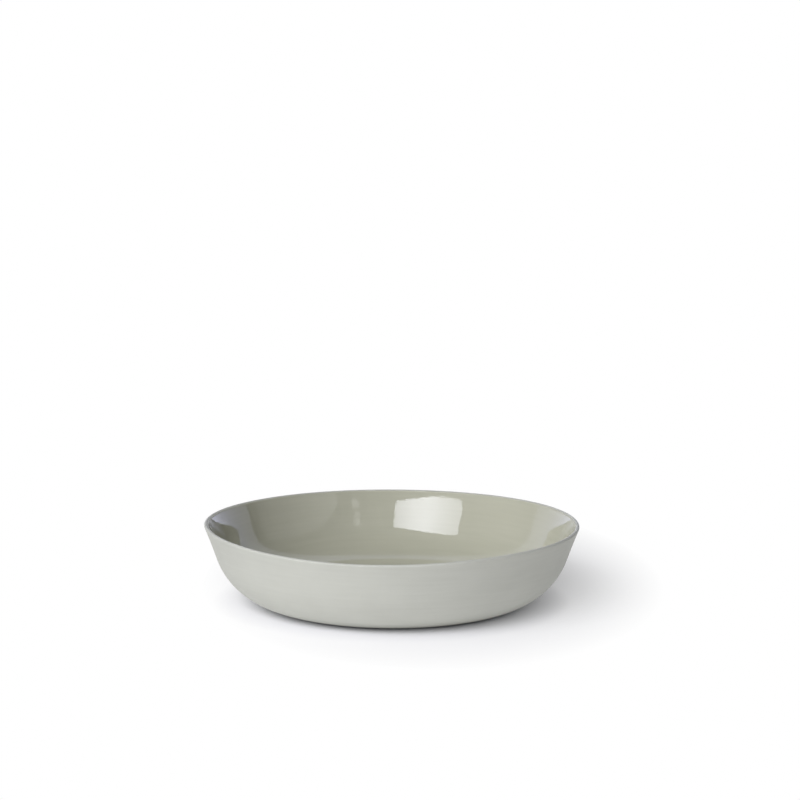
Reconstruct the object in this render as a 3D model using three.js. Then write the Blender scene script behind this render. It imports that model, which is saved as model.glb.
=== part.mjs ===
// A low, wide cereal bowl: a slip-cast porcelain body, bare outside, with a clear gloss glaze inside.
// Millimetres, +Z up. The origin is the middle of the plane that the bowl stands on.

import * as THREE from "three";

// Driving dimensions, all of the fired porcelain unless a comment says otherwise.

const RIM_DIAMETER = 190; // across the widest ring, at the lip
const HEIGHT = 40; // from the standing plane to the top of the lip
const LIP_THICKNESS = 1.8; // the lip is a full round of this thickness
const OUTER_FLARE_DEG = 20.7; // lean of the straight outer wall from the vertical
const OUTER_CORNER_RADIUS = 35.3; // of the arc between the base and the outer wall
const BASE_CUT = 0.35; // the base is ground flat this far up that arc

const INNER_RIM_LEAN_DEG = 18; // lean of the inner wall where it meets the lip
const INNER_WALL_BOW_RADIUS = 158; // the inner wall is a shallow hollow arc, so the wall thickens downwards
const INNER_CORNER_RADIUS = 29; // between the inside floor and the inner wall
const FLOOR_THICKNESS = 3.6; // porcelain at the middle of the floor, over the standing plane

const UNDERSIDE_RECESS_DEPTH = 0.8; // the middle of the underside is hollowed, so the bowl stands on a ring
const STANDING_RING_WIDTH = 8; // flat ring that touches the table
const RECESS_EDGE_WIDTH = 2; // sloped step between the ring and the recess

const GLAZE_THICKNESS = 0.3; // clear glaze on the inside
const GLAZE_STOP_DEG = 30; // the glaze stops on the lip's round this far inside its top

// Facets

const AROUND = 72; // facets round the axis
const CORNER_STEPS = 10; // facets on each corner arc
const WALL_STEPS = 3; // facets on the bowed inner wall
const LIP_STEPS = 4; // facets on the quarter round between the lip's widest ring and its top
const GLAZE_EDGE_STEPS = 3; // facets under the glaze's edge on the lip

const OUTER_FLARE = THREE.MathUtils.degToRad(OUTER_FLARE_DEG);
const INNER_RIM_LEAN = THREE.MathUtils.degToRad(INNER_RIM_LEAN_DEG);
const LIP_RADIUS = LIP_THICKNESS / 2;

// A profile point is a Vector2 of radius from the axis and height.
const point = (radius, height) => new THREE.Vector2(radius, height);

// A point on a circle. Angles run from the outward direction towards +Z.
const onCircle = (centre, radius, angle) =>
  point(
    centre.x + radius * Math.cos(angle),
    centre.y + radius * Math.sin(angle),
  );

// Points on an arc from one angle to another.
function arc(centre, radius, from, to, steps) {
  const points = [];
  for (let i = 0; i <= steps; i++) {
    const angle = from + ((to - from) * i) / steps;
    points.push(onCircle(centre, radius, angle));
  }
  return points;
}

const lipCentre = point(RIM_DIAMETER / 2 - LIP_RADIUS, HEIGHT - LIP_RADIUS);

// The centre of the outer corner's arc, which runs into the straight wall below the lip.
function outerCorner() {
  const inward = OUTER_CORNER_RADIUS - LIP_RADIUS;
  const level = OUTER_CORNER_RADIUS - BASE_CUT;
  const drop = lipCentre.y + inward * Math.sin(OUTER_FLARE) - level;
  const radius =
    lipCentre.x - inward * Math.cos(OUTER_FLARE) - drop * Math.tan(OUTER_FLARE);
  return point(radius, level);
}

// The outside, from the middle of the underside to the top of the straight wall.
function outerProfile() {
  const corner = outerCorner();
  const baseAngle = Math.asin(corner.y / OUTER_CORNER_RADIUS);
  const ringOuter = corner.x + OUTER_CORNER_RADIUS * Math.cos(baseAngle);
  const ringInner = ringOuter - STANDING_RING_WIDTH;
  return [
    point(0, UNDERSIDE_RECESS_DEPTH),
    point(ringInner - RECESS_EDGE_WIDTH, UNDERSIDE_RECESS_DEPTH),
    point(ringInner, 0),
    point(ringOuter, 0),
    ...arc(
      corner,
      OUTER_CORNER_RADIUS,
      -baseAngle,
      -OUTER_FLARE,
      CORNER_STEPS,
    ).slice(1),
  ];
}

// Angles about the lip's centre: its top, where the glaze stops and where the inner wall begins.
const LIP_TOP = Math.PI / 2;
const GLAZE_STOP = LIP_TOP + THREE.MathUtils.degToRad(GLAZE_STOP_DEG);
const INNER_WALL_TOP = Math.PI - INNER_RIM_LEAN;

// The lip's bare round, from the straight outer wall to where the glaze stops.
function bareLip() {
  return [
    ...arc(lipCentre, LIP_RADIUS, -OUTER_FLARE, 0, 1),
    ...arc(lipCentre, LIP_RADIUS, 0, LIP_TOP, LIP_STEPS).slice(1),
    ...arc(lipCentre, LIP_RADIUS, LIP_TOP, GLAZE_STOP, 1).slice(1),
  ];
}

// The inside, from where the glaze stops down to the middle of the floor, raised off the body by a coat.
// The coat grows from nothing at its end on the lip to full thickness where the wall begins.
function innerProfile(coat) {
  const lip = [];
  for (let i = 0; i <= GLAZE_EDGE_STEPS; i++) {
    const share = i / GLAZE_EDGE_STEPS;
    const angle = THREE.MathUtils.lerp(GLAZE_STOP, INNER_WALL_TOP, share);
    const radius = LIP_RADIUS + coat * THREE.MathUtils.smoothstep(share, 0, 1);
    lip.push(onCircle(lipCentre, radius, angle));
  }
  const bow = INNER_WALL_BOW_RADIUS;
  const wallCentre = point(
    lipCentre.x - (LIP_RADIUS + bow) * Math.cos(INNER_RIM_LEAN),
    lipCentre.y + (LIP_RADIUS + bow) * Math.sin(INNER_RIM_LEAN),
  );
  const cornerLevel = FLOOR_THICKNESS + INNER_CORNER_RADIUS;
  const offset = bow - INNER_CORNER_RADIUS;
  const cornerLean = Math.asin((wallCentre.y - cornerLevel) / offset);
  const corner = point(
    wallCentre.x + offset * Math.cos(cornerLean),
    cornerLevel,
  );
  const wall = arc(
    wallCentre,
    bow - coat,
    -INNER_RIM_LEAN,
    -cornerLean,
    WALL_STEPS,
  );
  const bend = arc(
    corner,
    INNER_CORNER_RADIUS - coat,
    -cornerLean,
    -Math.PI / 2,
    CORNER_STEPS,
  );
  return [
    ...lip,
    ...wall.slice(1),
    ...bend.slice(1),
    point(0, FLOOR_THICKNESS + coat),
  ];
}

// A closed profile turned about +Z. The profile runs from axis to axis with the solid on its left.
function turned(name, profile, material) {
  const geometry = new THREE.LatheGeometry(profile, AROUND);
  geometry.rotateX(Math.PI / 2);
  const mesh = new THREE.Mesh(geometry, material);
  mesh.name = name;
  return mesh;
}

const barePorcelain = new THREE.MeshStandardMaterial({
  color: 0xb9bab4,
  roughness: 0.65,
  metalness: 0,
});
const clearGlaze = new THREE.MeshStandardMaterial({
  color: 0xb8b8ab,
  roughness: 0.03,
  metalness: 0,
});

const porcelainBody = turned(
  "porcelain_body",
  [...outerProfile(), ...bareLip(), ...innerProfile(0).slice(1)],
  barePorcelain,
);

const innerGlaze = turned(
  "inner_glaze",
  [...innerProfile(0).reverse(), ...innerProfile(GLAZE_THICKNESS).slice(1)],
  clearGlaze,
);

const bowl = new THREE.Group();
bowl.name = "cereal_bowl";
bowl.add(porcelainBody, innerGlaze);

export default bowl;
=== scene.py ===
"""A low, wide cereal bowl in a white studio: bare porcelain outside, a clear gloss glaze inside."""

import math

import bpy
import numpy as np
from mathutils import Euler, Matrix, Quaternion, Vector


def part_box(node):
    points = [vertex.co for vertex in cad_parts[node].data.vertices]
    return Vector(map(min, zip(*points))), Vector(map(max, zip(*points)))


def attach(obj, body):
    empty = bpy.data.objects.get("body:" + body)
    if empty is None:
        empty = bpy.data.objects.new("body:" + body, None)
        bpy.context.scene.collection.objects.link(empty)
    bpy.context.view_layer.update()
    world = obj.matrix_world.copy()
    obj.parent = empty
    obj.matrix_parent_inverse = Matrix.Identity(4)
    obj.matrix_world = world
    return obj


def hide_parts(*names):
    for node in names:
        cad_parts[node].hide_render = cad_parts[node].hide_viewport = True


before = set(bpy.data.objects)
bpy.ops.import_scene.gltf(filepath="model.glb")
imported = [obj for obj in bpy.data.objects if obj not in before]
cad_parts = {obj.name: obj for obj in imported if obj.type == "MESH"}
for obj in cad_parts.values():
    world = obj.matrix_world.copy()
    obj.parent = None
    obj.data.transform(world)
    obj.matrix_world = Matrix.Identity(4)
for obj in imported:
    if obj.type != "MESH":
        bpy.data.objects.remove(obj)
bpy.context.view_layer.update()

MM = 0.001

# Sizes of the bowl, as the frame has them

body_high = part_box("porcelain_body")[1]
RIM_RADIUS = body_high.x
HEIGHT = body_high.z

LIP_RADIUS = 0.9 * MM  # the lip is a full round
OUTER_FLARE = math.radians(20.7)  # lean of the straight outer wall
OUTER_CORNER_RADIUS = 35.3 * MM
BASE_CUT = 0.35 * MM  # the base is ground flat this far up the corner's arc
INNER_RIM_LEAN = math.radians(18)  # lean of the inner wall where it meets the lip
INNER_WALL_BOW_RADIUS = 158 * MM
INNER_CORNER_RADIUS = 29 * MM
FLOOR_THICKNESS = 3.6 * MM
UNDERSIDE_RECESS_DEPTH = 0.8 * MM
STANDING_RING_WIDTH = 8 * MM
RECESS_EDGE_WIDTH = 2 * MM
GLAZE_THICKNESS = 0.3 * MM
GLAZE_STOP = math.radians(146)  # on the lip's round, from the outward direction

# What the kiln did to the rim: it sank a little, and no fired rim is quite level.
# Each wave has its rise, and the direction of one crest from +X towards +Y.

RIM_SETTLING = 0.3 * MM
RIM_TILT, RIM_TILT_CREST = 0.27 * MM, math.radians(-103)
RIM_SADDLE, RIM_SADDLE_CREST = 0.74 * MM, math.radians(-2)
RIM_THREE_LOBES, RIM_THREE_LOBES_CREST = 0.31 * MM, math.radians(-43)
RIM_FOUR_LOBES, RIM_FOUR_LOBES_CREST = 0.14 * MM, math.radians(29)

# Places where the inside of the wall is drawn in. Each has its direction and spread round the bowl
# in degrees, its depth, and its level and spread up the wall.

HOLLOWS = (
    (180, 29, 0.9 * MM, 33 * MM, 5 * MM),
    (0, 29, 0.6 * MM, 33 * MM, 5 * MM),
    (78, 5.5, 0.16 * MM, 30 * MM, 5 * MM),
)
OUTSIDE_SHARE = 0.25  # the outside of the wall follows the inside by this share

# Fineness of the meshes

AROUND = 288
LIP_STEPS = 12
WALL_STEPS = 24
CORNER_STEPS = 36
FLOOR_STEPS = 10
RECESS_EDGE_STEPS = 12
SUPPORT_SHARE = 8  # a ring an eighth of a wall step below the lip keeps its bend out of the wall
MERGE_DISTANCE = 0.002 * MM
SMOOTH_ANGLE = math.radians(40)  # edges that bend less are shaded smooth

# Sizes in the two finishes

PORCELAIN_MOTTLE = 14 * MM
SPONGE_LINE_LENGTH, SPONGE_LINE_WIDTH = 26 * MM, 1.4 * MM
PORCELAIN_GRAIN, PORCELAIN_GRAIN_DEPTH = 0.9 * MM, 0.02 * MM
GLAZE_MOTTLE = 18 * MM
STREAK_LENGTH, STREAK_WIDTH = 35 * MM, 1.8 * MM
RIPPLE, RIPPLE_DEPTH = 6 * MM, 0.052 * MM
BEND_SHADE_TOP, BEND_SHADE_BOTTOM = 22 * MM, 10 * MM  # levels between which the glaze is painted darker, as shade in the bend above the floor
DRY_EDGE_FOOT, DRY_EDGE_TOP = HEIGHT - 0.95 * MM, HEIGHT - 0.7 * MM  # levels where the gloss gives way

# The camera stands in front of the bowl and a little above it.
# The middle of the rim is seen at a pixel of an 800 by 800 picture.

PICTURE = 800  # pixels
SENSOR = 36  # millimetres
CAMERA_DISTANCE = 1400 * MM
CAMERA_ELEVATION = math.radians(11.71)
CAMERA_ROLL = math.radians(0.2)
FOCAL_PIXELS = 2752
RIM_MIDDLE_PIXEL = (392.0, 522.6)


# Helpers

def linear(hex_colour):
    """The linear RGBA of an sRGB hex colour."""
    channels = [int(hex_colour[i:i + 2], 16) / 255 for i in (0, 2, 4)]
    rgb = [c / 12.92 if c <= 0.04045 else ((c + 0.055) / 1.055) ** 2.4 for c in channels]
    return (*rgb, 1)


def add_node(tree, kind, inputs=None, **settings):
    """Adds a node with its settings, and gives its inputs a value or a link from another node's output."""
    node = tree.nodes.new(kind)
    for name, value in settings.items():
        setattr(node, name, value)
    for name, value in (inputs or {}).items():
        socket = node.inputs[name]
        if isinstance(value, bpy.types.NodeSocket):
            tree.links.new(value, socket)
        else:
            socket.default_value = value
    return node


def new_material(name):
    """An empty node material."""
    material = bpy.data.materials.new(name)
    material.use_nodes = True
    material.node_tree.nodes.clear()
    return material


# The bowl's section, in points of radius and height

def on_circle(centre, radius, angle):
    """A point on a circle. Angles run from the outward direction towards +Z."""
    return (centre[0] + radius * math.cos(angle), centre[1] + radius * math.sin(angle))


def arc(centre, radius, start, end, steps):
    """Points on an arc from one angle to another."""
    return [on_circle(centre, radius, start + (end - start) * i / steps) for i in range(steps + 1)]


def line(start, end, steps):
    """Points on a straight stretch, without its ends."""
    shares = [i / steps for i in range(1, steps)]
    return [tuple(a + (b - a) * s for a, b in zip(start, end)) for s in shares]


LIP_CENTRE = (RIM_RADIUS - LIP_RADIUS, HEIGHT - LIP_RADIUS)


def outside_section():
    """From the middle of the underside, round the standing ring and up the wall, to the glaze's edge."""
    inward = OUTER_CORNER_RADIUS - LIP_RADIUS
    corner_level = OUTER_CORNER_RADIUS - BASE_CUT
    drop = LIP_CENTRE[1] + inward * math.sin(OUTER_FLARE) - corner_level
    corner_x = LIP_CENTRE[0] - inward * math.cos(OUTER_FLARE) - drop * math.tan(OUTER_FLARE)
    corner = (corner_x, corner_level)
    cut_angle = math.asin(corner_level / OUTER_CORNER_RADIUS)
    ring_outer = corner_x + OUTER_CORNER_RADIUS * math.cos(cut_angle)
    ring_inner = ring_outer - STANDING_RING_WIDTH
    middle = (0, UNDERSIDE_RECESS_DEPTH)
    recess_edge = []
    for i in range(RECESS_EDGE_STEPS + 1):
        share = i / RECESS_EDGE_STEPS
        fall = (1 + math.cos(math.pi * share)) / 2
        recess_edge.append((ring_inner - RECESS_EDGE_WIDTH * (1 - share), UNDERSIDE_RECESS_DEPTH * fall))
    bend = arc(corner, OUTER_CORNER_RADIUS, -cut_angle, -OUTER_FLARE, CORNER_STEPS)
    lip = arc(LIP_CENTRE, LIP_RADIUS, -OUTER_FLARE, GLAZE_STOP, 2 * LIP_STEPS)
    return [
        middle,
        *line(middle, recess_edge[0], FLOOR_STEPS),
        *recess_edge,
        *bend,
        *line(bend[-1], lip[0], WALL_STEPS),
        *lip,
    ]


def inside_section(coat):
    """From the glaze's edge on the lip to the middle of the floor, raised off the porcelain by a coat."""
    lip_end = math.pi - INNER_RIM_LEAN
    lip = []
    for i in range(LIP_STEPS + 1):
        share = i / LIP_STEPS
        angle = GLAZE_STOP + (lip_end - GLAZE_STOP) * share
        feather = share ** 2 * (3 - 2 * share)
        lip.append(on_circle(LIP_CENTRE, LIP_RADIUS + coat * feather, angle))
    wall_centre = on_circle(LIP_CENTRE, LIP_RADIUS + INNER_WALL_BOW_RADIUS, lip_end)
    corner_level = FLOOR_THICKNESS + INNER_CORNER_RADIUS
    offset = INNER_WALL_BOW_RADIUS - INNER_CORNER_RADIUS
    corner_lean = math.asin((wall_centre[1] - corner_level) / offset)
    corner = (wall_centre[0] + offset * math.cos(corner_lean), corner_level)
    wall = arc(wall_centre, INNER_WALL_BOW_RADIUS - coat, -INNER_RIM_LEAN, -corner_lean, WALL_STEPS)
    support = line(wall[0], wall[1], SUPPORT_SHARE)[:1]
    bend = arc(corner, INNER_CORNER_RADIUS - coat, -corner_lean, -math.pi / 2, CORNER_STEPS)
    middle = (0, FLOOR_THICKNESS + coat)
    return [*lip, *support, *wall[1:], *bend[1:], *line(bend[-1], middle, FLOOR_STEPS), middle]


def turned_piece(name, section):
    """A section drawn point by point from axis to axis, then spun once round the axis."""
    bpy.ops.object.select_all(action="DESELECT")
    first = (section[0][0], 0, section[0][1])
    bpy.ops.mesh.primitive_plane_add(size=MM, location=first)
    piece = bpy.context.object
    piece.name = name
    piece.data.name = name
    bpy.ops.object.transform_apply(location=True, rotation=False, scale=False)
    bpy.ops.object.mode_set(mode="EDIT")
    bpy.ops.mesh.select_all(action="SELECT")
    bpy.ops.mesh.merge(type="CENTER")
    for here, there in zip(section, section[1:]):
        move = (there[0] - here[0], 0, there[1] - here[1])
        bpy.ops.mesh.extrude_vertices_move(TRANSFORM_OT_translate={"value": move})
    bpy.ops.mesh.select_all(action="SELECT")
    bpy.ops.mesh.spin(steps=AROUND, angle=2 * math.pi, center=(0, 0, 0), axis=(0, 0, 1))
    bpy.ops.mesh.select_all(action="SELECT")
    bpy.ops.mesh.remove_doubles(threshold=MERGE_DISTANCE)
    bpy.ops.mesh.normals_make_consistent(inside=False)
    bpy.ops.object.mode_set(mode="OBJECT")
    bpy.ops.object.shade_smooth_by_angle(angle=SMOOTH_ANGLE)
    return piece


def bell(offset, spread):
    """A smooth rise to one in the middle and back to nought."""
    return np.exp(-0.5 * (offset / spread) ** 2)


def settle_in_firing(piece):
    """Waves the rim along the wall's own slope, and draws the wall in at the hollows.

    The waves die away towards the base, and the hollows leave the rim as it is. The level that each point
    had before is kept in an attribute, which the glaze reads.
    """
    count = len(piece.data.vertices)
    flat = np.empty(3 * count)
    piece.data.vertices.foreach_get("co", flat)
    places = flat.reshape(count, 3)
    around = np.arctan2(places[:, 1], places[:, 0])
    height = places[:, 2].copy()
    cast_level = piece.data.attributes.new("cast_level", "FLOAT", "POINT")
    cast_level.data.foreach_set("value", height)
    wave = (
        RIM_TILT * np.cos(around - RIM_TILT_CREST)
        + RIM_SADDLE * np.cos(2 * (around - RIM_SADDLE_CREST))
        + RIM_THREE_LOBES * np.cos(3 * (around - RIM_THREE_LOBES_CREST))
        + RIM_FOUR_LOBES * np.cos(4 * (around - RIM_FOUR_LOBES_CREST))
    )
    rise = (wave - RIM_SETTLING) * (height / HEIGHT) ** 2
    spread = rise * math.tan(OUTER_FLARE)
    middle_of_wall = LIP_CENTRE[0] - (LIP_CENTRE[1] - height) * math.tan(OUTER_FLARE)
    outside = np.hypot(places[:, 0], places[:, 1]) > middle_of_wall
    follows = np.where(outside, OUTSIDE_SHARE, 1)
    for direction, width, depth, level, reach in HOLLOWS:
        turn = np.degrees(around) - direction
        aside = (turn + 180) % 360 - 180
        at_rim = bell(HEIGHT - level, reach) * (height / HEIGHT) ** 4
        spread -= follows * depth * bell(aside, width) * (bell(height - level, reach) - at_rim)
    places[:, 0] += spread * np.cos(around)
    places[:, 1] += spread * np.sin(around)
    places[:, 2] += rise
    piece.data.vertices.foreach_set("co", places.ravel())
    piece.data.update()


# Materials. A Mix node for colours goes by the numbers of its sockets, since it has several of each name.

SHARE, FIRST, SECOND = 0, 6, 7
MIXED = 2


def bare_porcelain():
    """Unglazed porcelain, slip-cast, fettled with a wet sponge and fired: matte, even and faintly lined.

    The sponge's lines and the grain are finer on a real bowl. They are drawn coarser, so that they show.
    """
    material = new_material("bare_porcelain")
    tree = material.node_tree
    place = add_node(tree, "ShaderNodeTexCoord").outputs["Object"]
    mottle = add_node(
        tree, "ShaderNodeTexNoise",
        {"Vector": place, "Scale": 1 / PORCELAIN_MOTTLE, "Detail": 3.0, "Roughness": 0.55},
    )
    tint = add_node(
        tree, "ShaderNodeMix",
        {SHARE: mottle.outputs["Fac"], FIRST: linear("b9bab4"), SECOND: linear("c0c1bb")},
        data_type="RGBA",
    )
    sponge_way = add_node(
        tree, "ShaderNodeMapping",
        {
            "Vector": place,
            "Scale": (1 / SPONGE_LINE_LENGTH, 1 / SPONGE_LINE_LENGTH, 1 / SPONGE_LINE_WIDTH),
        },
    )
    lines = add_node(
        tree, "ShaderNodeTexNoise",
        {"Vector": sponge_way.outputs["Vector"], "Scale": 1.0, "Detail": 2.0, "Roughness": 0.5},
    )
    lined = add_node(
        tree, "ShaderNodeMix",
        {SHARE: lines.outputs["Fac"], FIRST: linear("f6f6f5"), SECOND: linear("ffffff")},
        data_type="RGBA",
    )
    colour = add_node(
        tree, "ShaderNodeMix",
        {SHARE: 1.0, FIRST: tint.outputs[MIXED], SECOND: lined.outputs[MIXED]},
        data_type="RGBA", blend_type="MULTIPLY",
    )
    grain = add_node(
        tree, "ShaderNodeTexNoise",
        {"Vector": place, "Scale": 1 / PORCELAIN_GRAIN, "Detail": 2.0, "Roughness": 0.6},
    )
    bump = add_node(
        tree, "ShaderNodeBump",
        {"Height": grain.outputs["Fac"], "Distance": PORCELAIN_GRAIN_DEPTH, "Strength": 1.0},
    )
    shader = add_node(
        tree, "ShaderNodeBsdfPrincipled",
        {
            "Base Color": colour.outputs[MIXED],
            "Roughness": 0.65,
            "IOR": 1.5,
            "Normal": bump.outputs["Normal"],
        },
    )
    add_node(tree, "ShaderNodeOutputMaterial", {"Surface": shader.outputs["BSDF"]})
    return material


def clear_glaze():
    """Clear gloss glaze, poured in and swilled round: mirror-smooth, with soft ripples and faint streaks.

    It is painted darker in the bend above the floor, as shade there, and its wiped edge on the lip fires
    dry.
    """
    material = new_material("clear_glaze")
    tree = material.node_tree
    place = add_node(tree, "ShaderNodeTexCoord").outputs["Object"]
    level = add_node(tree, "ShaderNodeAttribute", attribute_name="cast_level").outputs["Fac"]
    mottle = add_node(
        tree, "ShaderNodeTexNoise",
        {"Vector": place, "Scale": 1 / GLAZE_MOTTLE, "Detail": 2.0, "Roughness": 0.5},
    )
    streak_way = add_node(
        tree, "ShaderNodeMapping",
        {"Vector": place, "Scale": (1 / STREAK_LENGTH, 1 / STREAK_LENGTH, 1 / STREAK_WIDTH)},
    )
    streaks = add_node(
        tree, "ShaderNodeTexNoise",
        {"Vector": streak_way.outputs["Vector"], "Scale": 1.0, "Detail": 2.0, "Roughness": 0.5},
    )
    tint = add_node(
        tree, "ShaderNodeMix",
        {SHARE: mottle.outputs["Fac"], FIRST: linear("babaac"), SECOND: linear("bebeb0")},
        data_type="RGBA",
    )
    streaked = add_node(
        tree, "ShaderNodeMix",
        {SHARE: streaks.outputs["Fac"], FIRST: linear("f5f5f3"), SECOND: linear("ffffff")},
        data_type="RGBA",
    )
    film = add_node(
        tree, "ShaderNodeMix",
        {SHARE: 1.0, FIRST: tint.outputs[MIXED], SECOND: streaked.outputs[MIXED]},
        data_type="RGBA", blend_type="MULTIPLY",
    )
    # Painted shade: the glaze's colour, made darker for the bend above the floor
    bend_shaded_film = add_node(
        tree, "ShaderNodeMix",
        {SHARE: 1.0, FIRST: film.outputs[MIXED], SECOND: linear("f9f9f7")},
        data_type="RGBA", blend_type="MULTIPLY",
    )
    # How far into the bend the painted shade reaches, by the level each point had before firing
    depth = add_node(
        tree, "ShaderNodeMapRange",
        {"Value": level, "From Min": BEND_SHADE_TOP, "From Max": BEND_SHADE_BOTTOM},
        interpolation_type="SMOOTHSTEP",
    )
    colour = add_node(
        tree, "ShaderNodeMix",
        {SHARE: depth.outputs["Result"], FIRST: film.outputs[MIXED], SECOND: bend_shaded_film.outputs[MIXED]},
        data_type="RGBA",
    )
    dry_edge = add_node(
        tree, "ShaderNodeMapRange",
        {
            "Value": level,
            "From Min": DRY_EDGE_FOOT,
            "From Max": DRY_EDGE_TOP,
            "To Min": 0.025,
            "To Max": 0.6,
        },
    )
    ripple = add_node(
        tree, "ShaderNodeTexNoise",
        {"Vector": place, "Scale": 1 / RIPPLE, "Detail": 3.0, "Roughness": 0.55},
    )
    bump = add_node(
        tree, "ShaderNodeBump",
        {"Height": ripple.outputs["Fac"], "Distance": RIPPLE_DEPTH, "Strength": 1.0},
    )
    shader = add_node(
        tree, "ShaderNodeBsdfPrincipled",
        {
            "Base Color": colour.outputs[MIXED],
            "Roughness": dry_edge.outputs["Result"],
            "IOR": 1.46,
            "Normal": bump.outputs["Normal"],
        },
    )
    add_node(tree, "ShaderNodeOutputMaterial", {"Surface": shader.outputs["BSDF"]})
    return material


# The bowl

def make_bowl():
    """The porcelain body, and the glaze that lies on its inside."""
    body = turned_piece("porcelain_body_fired", [*outside_section(), *inside_section(0)[1:]])
    coat = [*reversed(inside_section(0)), *inside_section(GLAZE_THICKNESS)[1:]]
    glaze = turned_piece("inner_glaze_gloss", coat)
    finishes = (
        (body, "porcelain_body", "bare_porcelain", bare_porcelain()),
        (glaze, "inner_glaze", "clear_glaze", clear_glaze()),
    )
    for piece, node, slot, material in finishes:
        settle_in_firing(piece)
        piece.data.materials.append(material)
        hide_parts(node)
        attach(piece, "root")


# The studio

FLOOR_SIZE = 16
FLOOR_WHITE = linear("ededf4")
FLOOR_BOUNCE = linear("e0e0e0")
FLOOR_GLOW = 0.38  # the lamps on the background make the floor this bright for the bowl
GLOW_START, GLOW_END = 0.064, 0.079  # from the bowl's middle; the floor under the bowl doesn't glow
SHADE_MIDDLE = (0.0216, 0.0505, 0)  # the floor turns into the white background all round this point
SHADE_SHAPE = (1, 0.63, 1)  # and reaches further to the back and front
SHADE_START, SHADE_END = 0.031, 0.121
CONTACT_START, CONTACT_END = 0.063, 0.091  # from the bowl's middle, where its contact shadow ends

KEY_PLACE = (-0.301, -0.943, 0.842)  # a long strip softbox, left of the camera, whose left end is nearer
KEY_TURN = (68.7, -24.9, -67.9)  # degrees
KEY_LENGTH, KEY_WIDTH = 1.42, 0.37
KEY_LIGHT = 5.1  # as spread over the whole softbox; the shorter lamp gives as much
LAMP_LENGTH = 1.1
LAMP_SHIFT = -0.12  # its light comes mostly from its left part
CLOTH_COLOUR = linear("f5f6ff")
CLOTH_LIGHT = 12.0  # at its brightest
CLOTH_HOT_SPOT = -0.17  # in shares of its length from its middle, towards its left end
CLOTH_LEFT_END, CLOTH_RIGHT_END = 0.5, 0.6  # shares of the light that the ends have
CLOTH_CORNER = 0.12  # in shares of its length and width; the corners of its left end are rounded
CLOTH_CORNER_STEPS = 8
SHEET_END = 0.5  # of a cloth or card, in shares of its length from its middle

FILL_SIDE = (-0.64, -0.70, 0.32)  # the room's soft light comes mostly from the front left
FILL_LIGHT = 1.5
BACK_SIDE = (0.0, 0.97, 0.26)  # and a little from behind
BACK_LIGHT = 0.32

BACKDROP_COLOUR = linear("e4e7ff")
BACKDROP_LIGHT = (0.95, 2.0)  # at its edge and straight behind
BACKDROP_DARK = 0.08  # the rest of the room, as the glaze mirrors it
BACKDROP_SIDE = 0.35  # the backdrop is mirrored in directions with more than this of +Y
BACKDROP_EDGE = 0.015

# Things that stand in the studio and show in the glaze. Each has its direction, in degrees from the
# camera's towards the right, its distance, its length, the levels of its foot and top, and the light
# of its two ends, the one nearer to the camera first.

REFLECTORS = (
    ("white_card", 73.5, 0.9, 1.17, 0.0, 0.66, (1.2, 0.4)),
    ("small_lamp_1", 27.2, 1.2, 0.11, 0.71, 0.78, (2.0, 2.0)),
    ("small_lamp_2", 27.2, 1.2, 0.10, 0.84, 0.89, (2.0, 2.0)),
    ("small_lamp_3", 27.8, 1.2, 0.09, 0.91, 1.00, (2.0, 2.0)),
)


def mirrored_rays(tree):
    """One for rays that come off a glossy surface or through a clear one, and nought for all others."""
    path = add_node(tree, "ShaderNodeLightPath")
    rays = add_node(
        tree, "ShaderNodeMath",
        {0: path.outputs["Is Glossy Ray"], 1: path.outputs["Is Transmission Ray"]},
        operation="MAXIMUM",
    )
    return rays.outputs["Value"]


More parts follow.
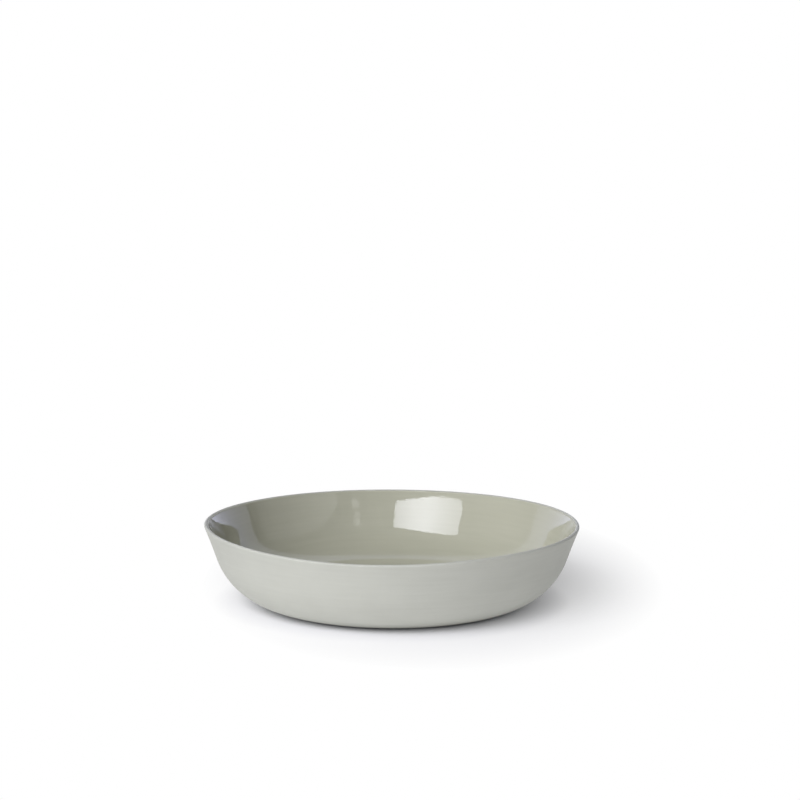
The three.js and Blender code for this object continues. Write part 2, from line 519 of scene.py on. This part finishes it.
def make_floor():
    """A white table top that keeps the bowl's shadow and ends in the white background."""
    bpy.ops.object.select_all(action="DESELECT")
    bpy.ops.mesh.primitive_plane_add(size=FLOOR_SIZE)
    floor = bpy.context.object
    floor.name = "studio_floor"
    material = new_material("white_table_top")
    tree = material.node_tree
    place = add_node(tree, "ShaderNodeTexCoord").outputs["Object"]
    distance = add_node(tree, "ShaderNodeVectorMath", {0: place}, operation="LENGTH")
    offset = add_node(tree, "ShaderNodeVectorMath", {0: place, 1: SHADE_MIDDLE}, operation="SUBTRACT")
    oval = add_node(
        tree, "ShaderNodeVectorMath",
        {0: offset.outputs["Vector"], 1: SHADE_SHAPE},
        operation="MULTIPLY",
    )
    reach = add_node(tree, "ShaderNodeVectorMath", {0: oval.outputs["Vector"]}, operation="LENGTH")
    outside_shade = add_node(
        tree, "ShaderNodeMapRange",
        {"Value": reach.outputs["Value"], "From Min": SHADE_START, "From Max": SHADE_END},
    )
    outside_contact = add_node(
        tree, "ShaderNodeMapRange",
        {"Value": distance.outputs["Value"], "From Min": CONTACT_START, "From Max": CONTACT_END},
    )
    white = add_node(
        tree, "ShaderNodeMath",
        {0: outside_shade.outputs["Result"], 1: outside_contact.outputs["Result"]},
        operation="MULTIPLY",
    )
    path = add_node(tree, "ShaderNodeLightPath")
    seen = add_node(
        tree, "ShaderNodeMath",
        {0: path.outputs["Is Camera Ray"], 1: mirrored_rays(tree)},
        operation="MAXIMUM",
    )
    bounce = add_node(tree, "ShaderNodeBsdfDiffuse", {"Color": FLOOR_BOUNCE})
    glow = add_node(
        tree, "ShaderNodeMapRange",
        {
            "Value": distance.outputs["Value"],
            "From Min": GLOW_START,
            "From Max": GLOW_END,
            "To Max": FLOOR_GLOW,
        },
    )
    bright = add_node(
        tree, "ShaderNodeEmission",
        {"Color": linear("ffffff"), "Strength": glow.outputs["Result"]},
    )
    lit_floor = add_node(
        tree, "ShaderNodeAddShader",
        {0: bounce.outputs["BSDF"], 1: bright.outputs["Emission"]},
    )
    matte = add_node(tree, "ShaderNodeBsdfDiffuse", {"Color": FLOOR_WHITE})
    background = add_node(tree, "ShaderNodeEmission", {"Color": linear("ffffff"), "Strength": 1.0})
    table_top = add_node(
        tree, "ShaderNodeMixShader",
        {0: white.outputs["Value"], 1: matte.outputs["BSDF"], 2: background.outputs["Emission"]},
    )
    surface = add_node(
        tree, "ShaderNodeMixShader",
        {0: seen.outputs["Value"], 1: lit_floor.outputs["Shader"], 2: table_top.outputs["Shader"]},
    )
    add_node(tree, "ShaderNodeOutputMaterial", {"Surface": surface.outputs["Shader"]})
    floor.data.materials.append(material)


def make_world():
    """Soft light from the front left and a little from behind, each falling off to the sides.

    The glaze mirrors a white backdrop, and the camera sees white everywhere.
    """
    world = bpy.data.worlds.new("white_studio")
    bpy.context.scene.world = world
    world.use_nodes = True
    tree = world.node_tree
    tree.nodes.clear()
    direction = add_node(tree, "ShaderNodeTexCoord").outputs["Generated"]
    soft = []
    for side, light in ((FILL_SIDE, FILL_LIGHT), (BACK_SIDE, BACK_LIGHT)):
        facing = add_node(tree, "ShaderNodeVectorMath", {0: direction, 1: side}, operation="DOT_PRODUCT")
        front = add_node(tree, "ShaderNodeMath", {0: facing.outputs["Value"], 1: 0.0}, operation="MAXIMUM")
        lobe = add_node(tree, "ShaderNodeMath", {0: front.outputs["Value"], 1: 2.0}, operation="POWER")
        part = add_node(tree, "ShaderNodeMath", {0: lobe.outputs["Value"], 1: light}, operation="MULTIPLY")
        soft.append(part.outputs["Value"])
    both = add_node(tree, "ShaderNodeMath", {0: soft[0], 1: soft[1]}, operation="ADD")
    room = add_node(
        tree, "ShaderNodeBackground",
        {"Color": linear("ffffff"), "Strength": both.outputs["Value"]},
    )
    split = add_node(tree, "ShaderNodeSeparateXYZ", {"Vector": direction})
    behind = add_node(
        tree, "ShaderNodeMapRange",
        {
            "Value": split.outputs["Y"],
            "From Min": BACKDROP_SIDE - BACKDROP_EDGE,
            "From Max": BACKDROP_SIDE + BACKDROP_EDGE,
        },
        interpolation_type="SMOOTHSTEP",
    )
    graded = add_node(
        tree, "ShaderNodeMapRange",
        {
            "Value": split.outputs["Y"],
            "From Min": BACKDROP_SIDE,
            "From Max": 1.0,
            "To Min": BACKDROP_LIGHT[0],
            "To Max": BACKDROP_LIGHT[1],
        },
    )
    sheet = add_node(
        tree, "ShaderNodeMath",
        {0: behind.outputs["Result"], 1: graded.outputs["Result"]},
        operation="MULTIPLY",
    )
    mirrored = add_node(
        tree, "ShaderNodeMath",
        {0: sheet.outputs["Value"], 1: BACKDROP_DARK},
        operation="MAXIMUM",
    )
    backdrop = add_node(
        tree, "ShaderNodeBackground",
        {"Color": BACKDROP_COLOUR, "Strength": mirrored.outputs["Value"]},
    )
    white = add_node(tree, "ShaderNodeBackground", {"Color": linear("ffffff"), "Strength": 1.0})
    studio = add_node(
        tree, "ShaderNodeMixShader",
        {0: mirrored_rays(tree), 1: room.outputs["Background"], 2: backdrop.outputs["Background"]},
    )
    path = add_node(tree, "ShaderNodeLightPath")
    surface = add_node(
        tree, "ShaderNodeMixShader",
        {
            0: path.outputs["Is Camera Ray"],
            1: studio.outputs["Shader"],
            2: white.outputs["Background"],
        },
    )
    add_node(tree, "ShaderNodeOutputWorld", {"Surface": surface.outputs["Shader"]})


def make_mirrored_plane(name, length, width, place, turn):
    """A flat studio sheet that only the glaze shows."""
    bpy.ops.object.select_all(action="DESELECT")
    bpy.ops.mesh.primitive_plane_add(size=1, location=place, rotation=turn)
    sheet = bpy.context.object
    sheet.name = name
    sheet.scale = (length, width, 1)
    sheet.visible_camera = False
    sheet.visible_diffuse = False
    sheet.visible_shadow = False
    return sheet


def make_key_light():
    """A strip softbox on the left: a lamp for its light, and its cloth as it shows in the glaze."""
    turn = [math.radians(angle) for angle in KEY_TURN]
    lamp = bpy.data.lights.new("strip_softbox", "AREA")
    lamp.shape = "RECTANGLE"
    lamp.size = LAMP_LENGTH
    lamp.size_y = KEY_WIDTH
    lamp.energy = KEY_LIGHT * math.pi * KEY_LENGTH * KEY_WIDTH
    softbox = bpy.data.objects.new("strip_softbox", lamp)
    softbox.location = Vector(KEY_PLACE) + Euler(turn).to_matrix() @ Vector((LAMP_SHIFT, 0, 0))
    softbox.rotation_euler = turn
    softbox.visible_glossy = False
    bpy.context.scene.collection.objects.link(softbox)

    cloth = make_mirrored_plane("softbox_cloth", KEY_LENGTH, KEY_WIDTH, KEY_PLACE, turn)
    bpy.ops.object.mode_set(mode="EDIT")
    bpy.ops.mesh.select_all(action="DESELECT")
    bpy.ops.object.mode_set(mode="OBJECT")
    for corner in cloth.data.vertices:
        corner.select = corner.co.x < 0
    bpy.ops.object.mode_set(mode="EDIT")
    bpy.ops.mesh.bevel(offset=CLOTH_CORNER, segments=CLOTH_CORNER_STEPS, affect="VERTICES")
    bpy.ops.object.mode_set(mode="OBJECT")
    material = new_material("white_softbox_cloth")
    tree = material.node_tree
    place = add_node(tree, "ShaderNodeTexCoord").outputs["Object"]
    split = add_node(tree, "ShaderNodeSeparateXYZ", {"Vector": place})
    left = add_node(
        tree, "ShaderNodeMapRange",
        {
            "Value": split.outputs["X"],
            "From Min": CLOTH_HOT_SPOT,
            "From Max": -SHEET_END,
            "To Min": CLOTH_LIGHT,
            "To Max": CLOTH_LIGHT * CLOTH_LEFT_END,
        },
    )
    right = add_node(
        tree, "ShaderNodeMapRange",
        {
            "Value": split.outputs["X"],
            "From Min": CLOTH_HOT_SPOT,
            "From Max": SHEET_END,
            "To Min": CLOTH_LIGHT,
            "To Max": CLOTH_LIGHT * CLOTH_RIGHT_END,
        },
    )
    strength = add_node(
        tree, "ShaderNodeMath",
        {0: left.outputs["Result"], 1: right.outputs["Result"]},
        operation="MINIMUM",
    )
    glow = add_node(
        tree, "ShaderNodeEmission",
        {"Color": CLOTH_COLOUR, "Strength": strength.outputs["Value"]},
    )
    add_node(tree, "ShaderNodeOutputMaterial", {"Surface": glow.outputs["Emission"]})
    cloth.data.materials.append(material)


def make_reflectors():
    """Upright white sheets round the bowl, each as bright along its length as its two ends say."""
    for name, azimuth, distance, length, foot, top, lights in REFLECTORS:
        turn = math.radians(azimuth)
        ahead = Vector((math.sin(turn), -math.cos(turn), 0))
        middle = ahead * distance + Vector((0, 0, (foot + top) / 2))
        sheet = make_mirrored_plane(name, length, top - foot, middle, (math.pi / 2, 0, turn))
        material = new_material(name)
        tree = material.node_tree
        place = add_node(tree, "ShaderNodeTexCoord").outputs["Object"]
        split = add_node(tree, "ShaderNodeSeparateXYZ", {"Vector": place})
        strength = add_node(
            tree, "ShaderNodeMapRange",
            {
                "Value": split.outputs["X"],
                "From Min": -SHEET_END,
                "From Max": SHEET_END,
                "To Min": lights[0],
                "To Max": lights[1],
            },
        )
        glow = add_node(
            tree, "ShaderNodeEmission",
            {"Color": linear("ffffff"), "Strength": strength.outputs["Result"]},
        )
        add_node(tree, "ShaderNodeOutputMaterial", {"Surface": glow.outputs["Emission"]})
        sheet.data.materials.append(material)


def make_camera():
    """A long lens, aimed so that the middle of the rim falls on its pixel."""
    data = bpy.data.cameras.new("camera")
    data.sensor_width = SENSOR
    data.lens = FOCAL_PIXELS * SENSOR / PICTURE
    camera = bpy.data.objects.new("camera", data)
    bpy.context.scene.collection.objects.link(camera)
    back = Vector((0, -math.cos(CAMERA_ELEVATION), math.sin(CAMERA_ELEVATION)))
    camera.location = Vector((0, 0, HEIGHT)) + back * CAMERA_DISTANCE
    right = RIM_MIDDLE_PIXEL[0] - PICTURE / 2
    down = RIM_MIDDLE_PIXEL[1] - PICTURE / 2
    seen_at = Vector((right, -down, -FOCAL_PIXELS))
    aim = seen_at.rotation_difference(Vector((0, 0, -1)))
    roll = Quaternion((0, 0, 1), CAMERA_ROLL)
    camera.rotation_mode = "QUATERNION"
    camera.rotation_quaternion = (-back).to_track_quat("-Z", "Y") @ roll @ aim
    bpy.context.scene.camera = camera


make_bowl()
make_floor()
make_world()
make_key_light()
make_reflectors()
make_camera()
bpy.context.scene.view_settings.view_transform = "Standard"
